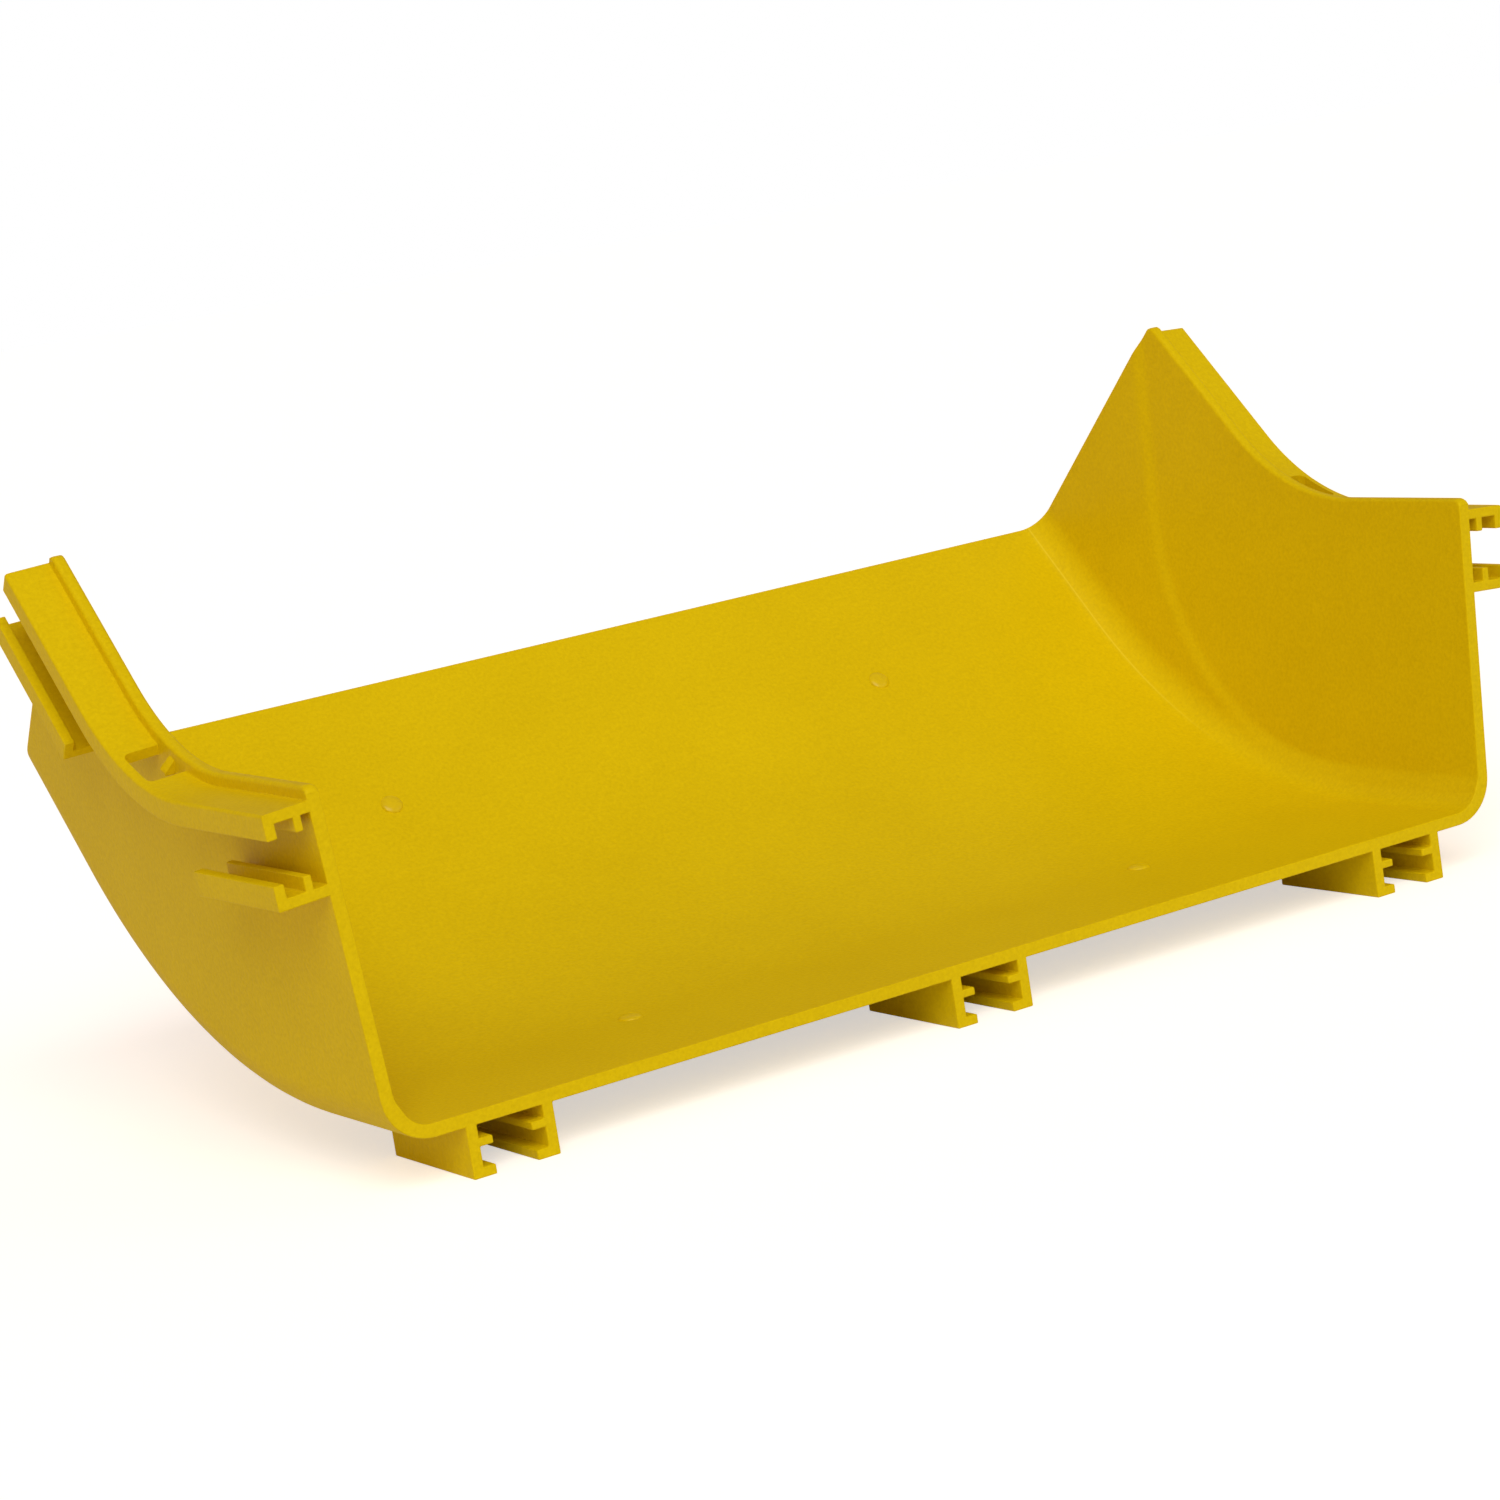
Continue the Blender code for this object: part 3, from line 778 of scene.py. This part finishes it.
@dataclass
class CoverWindows:
    """The window in the middle of each flange, with the catch for the cover on the wall inside it."""

    sizes: ElbowSizes = field(default_factory=ElbowSizes)
    flange: FlangeSizes = field(default_factory=FlangeSizes)
    length: float = 13.3 * MM
    hook_bite: float = 0.3 * MM
    corner_radius: float = 1.6 * MM
    corner_segments: int = 5
    wall_gap: float = 0.05 * MM
    rib_setback: float = 7.0 * MM
    rib_side: float = 0.35 * MM
    catch_length: float = 2.5 * MM
    catch_reach: float = 2.4 * MM
    catch_rise: float = 0.5 * MM
    catch_slope: float = 2.6 * MM
    catch_nose: float = 0.9 * MM
    catch_sunk: float = 1.0 * MM
    catch_edge: float = 0.2 * MM
    catch_segments: int = 2
    catch_angle: float = math.radians(20.0)

    def draw_out(self, outline: list[Point], length: float) -> bmesh.types.BMesh:
        """Draws a section out to both sides of its place.

        Args:
            outline: The section's points (out, up) from the wall's foot.
            length: How long the block is.

        Returns:
            The block, still at the near end.
        """
        bm = bmesh.new()
        centre = self.sizes.flange_centre
        ring = []
        for out, up in outline:
            x, z = self.sizes.on_wall(out, up)
            ring.append(bm.verts.new((x, -length / 2.0, z - centre.z)))
        block = bmesh.ops.extrude_face_region(bm, geom=[bm.faces.new(ring)])["geom"]
        bmesh.ops.translate(bm, verts=only(block, bmesh.types.BMVert), vec=(0.0, length, 0.0))
        bmesh.ops.recalc_face_normals(bm, faces=bm.faces)
        return bm

    def set_in_bend(self, bm: bmesh.types.BMesh) -> None:
        """Turns a block to the middle of the bend and mirrors it to the other wall.

        Args:
            bm: The block, still at the near end.
        """
        place = (Matrix.Translation(self.sizes.flange_centre)
                 @ Matrix.Rotation(self.sizes.bend / 2.0, 4, "X"))
        bmesh.ops.transform(bm, matrix=place, verts=bm.verts)
        mirror(bm, Matrix.Identity(4), Across.SIDES)
        bmesh.ops.translate(bm, verts=bm.verts, vec=self.sizes.origin)

    def open_in(self, shell: bpy.types.Object) -> None:
        """Cuts both windows into the shell, and cuts the rib back beside them.

        Args:
            shell: The piece with the flanges.
        """
        f = self.flange
        top = self.sizes.flange_top
        under = top - f.plate
        # Both blocks reach well below the hook and the rib.
        deep = under - 2.0 * f.hook_drop
        high = top + self.sizes.lip_height
        outer = f.reach - f.hook + self.hook_bite
        window = self.draw_out([(self.wall_gap, deep), (outer, deep), (outer, high),
                                (self.wall_gap, high)], self.length)
        corners = [edge for edge in window.edges
                   if abs(edge.verts[0].co.y - edge.verts[1].co.y) < TINY
                   and min(vert.co.x for vert in edge.verts) > self.sizes.on_wall(outer - MM, deep)[0]]
        round_edges(window, corners, self.corner_radius, self.corner_segments)
        self.cut(shell, window)
        # The rib's block is straight, so it rises by the bend's height over half a window to end flush.
        flush = under + (self.length / 2.0) ** 2 / (2.0 * self.sizes.flange_bend)
        first, last = f.rib_gap - self.rib_side, f.rib_gap + f.rib + self.rib_side
        self.cut(shell, self.draw_out([(first, deep), (last, deep), (last, flush), (first, flush)],
                                      self.length + 2.0 * self.rib_setback))

    def cut(self, shell: bpy.types.Object, bm: bmesh.types.BMesh) -> None:
        """Cuts a block out of both flanges.

        Args:
            shell: The piece with the flanges.
            bm: The block, still at the near end, which is freed.
        """
        self.set_in_bend(bm)
        mesh = bpy.data.meshes.new("window_cutter")
        bm.to_mesh(mesh)
        bm.free()
        cutter = bpy.data.objects.new("window_cutter", mesh)
        bpy.context.scene.collection.objects.link(cutter)
        difference = shell.modifiers.new("window", "BOOLEAN")
        difference.operation = "DIFFERENCE"
        difference.solver = "EXACT"
        difference.object = cutter
        evaluated = shell.evaluated_get(bpy.context.evaluated_depsgraph_get())
        opened = bpy.data.meshes.new_from_object(evaluated)
        shell.modifiers.clear()
        shell.data = opened
        bpy.data.objects.remove(cutter)

    def build_catches(self, material: bpy.types.Material) -> bpy.types.Object:
        """Builds the two catches: each slopes down from the wall to a blunt nose.

        Args:
            material: What they are made of.

        Returns:
            The piece.
        """
        top = self.sizes.flange_top + self.catch_rise
        under = top - self.catch_slope - self.catch_nose
        bm = self.draw_out([(-self.catch_sunk, top), (0.0, top),
                            (self.catch_reach, top - self.catch_slope), (self.catch_reach, under),
                            (-self.catch_sunk, under)], self.catch_length)
        soften(bm, self.catch_edge, self.catch_segments, self.catch_angle)
        self.set_in_bend(bm)
        return add_piece("cover_catches", bm, material)


@dataclass
class FloorDomes:
    """The four low domes on the floor, two near each end."""

    sizes: ElbowSizes = field(default_factory=ElbowSizes)
    spacing: float = 145.0 * MM
    inset: float = 37.0 * MM
    diameter: float = 5.5 * MM
    height: float = 0.8 * MM
    spokes: int = 32
    rings: int = 16

    def build(self, material: bpy.types.Material) -> bpy.types.Object:
        """Builds the domes.

        Args:
            material: What they are made of.

        Returns:
            The piece.
        """
        s = self.sizes
        bm = bmesh.new()
        bmesh.ops.create_uvsphere(bm, u_segments=self.spokes, v_segments=self.rings, radius=1.0)
        bmesh.ops.scale(bm, vec=(self.diameter / 2.0, self.diameter / 2.0, self.height),
                        verts=bm.verts)
        turn = (self.inset - s.end_length) / s.floor_bend
        place = (Matrix.Translation((self.spacing / 2.0, s.end_length, s.floor_bend))
                 @ Matrix.Rotation(turn, 4, "X") @ Matrix.Translation((0.0, 0.0, -s.floor_bend)))
        bmesh.ops.transform(bm, matrix=place, verts=bm.verts)
        mirror(bm, s.middle, Across.ENDS)
        mirror(bm, Matrix.Identity(4), Across.SIDES)
        bmesh.ops.translate(bm, verts=bm.verts, vec=s.origin)
        return add_piece("floor_domes", bm, material)


@dataclass(frozen=True)
class PhotoCamera:
    """The camera that took the photograph, as found from the elbow's own corners."""

    eye: tuple[float, float, float] = (-0.4953, -0.8165, 0.2149)
    target: tuple[float, float, float] = (-0.0006, -0.0002, 0.0568)
    roll: float = math.radians(8.92)
    focal_px: float = 4013.0
    clip_start: float = 0.05
    clip_end: float = 20.0

    def build(self) -> bpy.types.Object:
        """Makes the camera and makes it the scene's own.

        Returns:
            The camera.
        """
        data = bpy.data.cameras.new("photo_camera")
        data.sensor_fit = "HORIZONTAL"
        data.sensor_width = SENSOR_MM
        data.lens = self.focal_px / PHOTO_SIDE_PX * SENSOR_MM
        data.clip_start = self.clip_start
        data.clip_end = self.clip_end
        camera = bpy.data.objects.new("photo_camera", data)
        bpy.context.scene.collection.objects.link(camera)
        view = Vector(self.target) - Vector(self.eye)
        camera.rotation_mode = "QUATERNION"
        camera.rotation_quaternion = (view.to_track_quat("-Z", "Y")
                                      @ Quaternion((0.0, 0.0, 1.0), -self.roll))
        camera.location = self.eye
        bpy.context.scene.camera = camera
        return camera


@dataclass(frozen=True)
class SunLight:
    """A wide, even light from one direction, with its spread in degrees."""

    name: str
    toward: tuple[float, float, float]
    spread: float
    strength: float
    colour_hex: str = WHITE_HEX

    def build(self) -> bpy.types.Object:
        """Makes the light.

        Returns:
            The light.
        """
        data = bpy.data.lights.new(self.name, "SUN")
        data.angle = math.radians(self.spread)
        data.energy = self.strength
        data.color = linear(self.colour_hex)[:3]
        light = bpy.data.objects.new(self.name, data)
        light.location = self.toward
        light.rotation_mode = "QUATERNION"
        light.rotation_quaternion = (-Vector(self.toward)).to_track_quat("-Z", "Y")
        bpy.context.scene.collection.objects.link(light)
        return light


@dataclass
class Studio:
    """A white floor that runs out of sight, in soft light from above and from the front."""

    floor_half: float = 4.5
    floor_hex: str = "FAFAF9"
    floor_roughness: float = 0.9
    floor_gloss: float = 0.2
    floor_glow: float = 0.55
    ambient: float = 0.32
    ambient_hex: str = "FFD9BC"
    lights: tuple[SunLight, ...] = (
        SunLight("front_softbox", (-0.3, -0.8, 0.8), 40.0, 1.31),
        SunLight("right_softbox", (0.8, -0.8, 0.5), 40.0, 0.14),
        SunLight("left_softbox", (-0.9, -0.3, 0.6), 40.0, 0.12, "FFEAD6"),
        SunLight("left_bounce", (-1.0, -0.2, 0.25), 40.0, 0.14, "FFE6CC"),
    )

    def build(self) -> None:
        """Builds the floor, the lights and the world."""
        self.build_floor()
        self.build_world()
        for light in self.lights:
            light.build()

    def build_floor(self) -> bpy.types.Object:
        """Lays the floor.

        Returns:
            The floor.
        """
        bm = bmesh.new()
        bmesh.ops.create_grid(bm, x_segments=1, y_segments=1, size=self.floor_half)
        mesh = bpy.data.meshes.new("studio_floor")
        bm.to_mesh(mesh)
        bm.free()
        paper = bpy.data.materials.new("white_paper_on_light_table")
        paper.use_nodes = True
        shader = paper.node_tree.nodes["Principled BSDF"]
        shader.inputs["Base Color"].default_value = linear(self.floor_hex)
        shader.inputs["Roughness"].default_value = self.floor_roughness
        shader.inputs["Specular IOR Level"].default_value = self.floor_gloss
        shader.inputs["Emission Color"].default_value = linear(WHITE_HEX)
        # Only the camera sees the glow, so it whitens the floor and doesn't light the elbow from below.
        path = add_node(paper.node_tree, "ShaderNodeLightPath")
        glow = add_node(paper.node_tree, "ShaderNodeMath", {"operation": "MULTIPLY"},
                        {0: path.outputs["Is Camera Ray"], 1: self.floor_glow})
        paper.node_tree.links.new(glow.outputs["Value"], shader.inputs["Emission Strength"])
        mesh.materials.append(paper)
        floor = bpy.data.objects.new("studio_floor", mesh)
        bpy.context.scene.collection.objects.link(floor)
        return floor

    def build_world(self) -> None:
        """Makes the world: white where the camera sees it, dimmer as a light."""
        world = bpy.data.worlds.new("studio_world")
        bpy.context.scene.world = world
        world.use_nodes = True
        tree = world.node_tree
        seen = add_node(tree, "ShaderNodeBackground",
                        inputs={"Color": linear(WHITE_HEX), "Strength": 1.0})
        light = tree.nodes["Background"]
        light.inputs["Color"].default_value = linear(self.ambient_hex)
        light.inputs["Strength"].default_value = self.ambient
        path = add_node(tree, "ShaderNodeLightPath")
        mix = add_node(tree, "ShaderNodeMixShader",
                       inputs={"Fac": path.outputs["Is Camera Ray"],
                               1: light.outputs["Background"], 2: seen.outputs["Background"]})
        tree.links.new(mix.outputs["Shader"], tree.nodes["World Output"].inputs["Surface"])


def finish_normals(piece: bpy.types.Object, sharper_than: float = math.radians(50.0)) -> None:
    """Keeps wide faces flat beside their small roundings, and unrounded edges crisp.

    Args:
        piece: The piece.
        sharper_than: The least angle between two faces that stays a hard edge.
    """
    piece.data.set_sharp_from_angle(angle=sharper_than)
    weighted = piece.modifiers.new("weighted_normals", "WEIGHTED_NORMAL")
    weighted.mode = "FACE_AREA"
    weighted.keep_sharp = True


def main() -> None:
    """Builds the scene."""
    logging.basicConfig(level=logging.INFO, format="%(name)s: %(message)s")
    bpy.context.scene.view_settings.view_transform = "Standard"
    PhotoCamera().build()
    Studio().build()
    plastic = MouldedPlastic().build()
    shell = ElbowShell().build(plastic)
    windows = CoverWindows()
    windows.open_in(shell)
    catches = windows.build_catches(plastic)
    domes = FloorDomes().build(PolishedPlastic().build())
    for piece in (shell, catches, domes):
        finish_normals(piece)
        LOG.info("%s built with %d faces", piece.name, len(piece.data.polygons))


if __name__ == "__main__":
    main()
